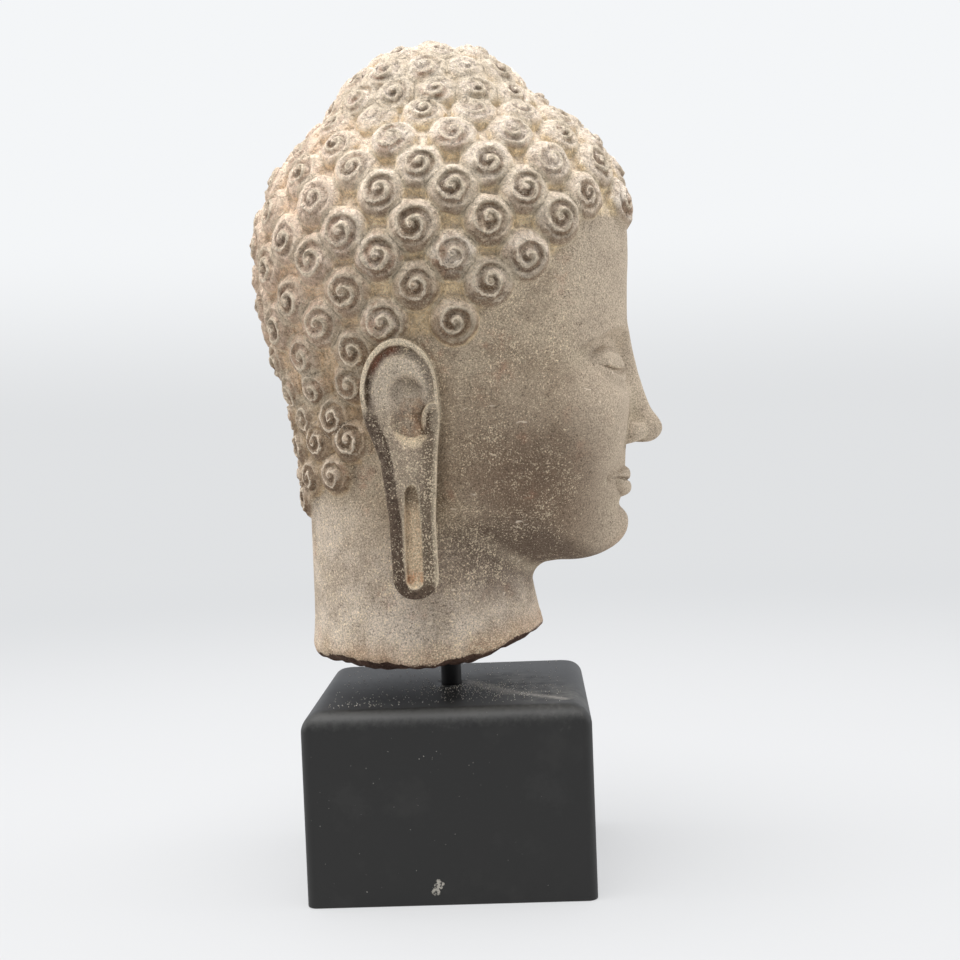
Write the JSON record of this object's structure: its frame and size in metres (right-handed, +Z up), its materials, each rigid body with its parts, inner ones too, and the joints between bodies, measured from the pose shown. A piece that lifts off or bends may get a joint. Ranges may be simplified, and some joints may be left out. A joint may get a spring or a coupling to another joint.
{
  "type": "stone buddha head on a stand",
  "caption": "Carved sandstone buddha head with snail-shell curls, a domed crown and long slotted ear lobes, held on a rod in a square black wooden plinth.",
  "frame": {"origin": "centre of the plinth's underside", "axes": "+Z up, the face looks along -Y, +X is the head's left-hand side"},
  "size_m": [0.1848, 0.239, 0.4861],
  "materials": {
    "sandstone": "worn fine-grained sandstone, matt",
    "black_steel": "satin black paint",
    "black_wood": "satin black paint"
  },
  "bodies": {
    "root": {"head": "sandstone", "mounting_rod": "black_steel", "plinth": "black_wood"}
  },
  "joints": []
}
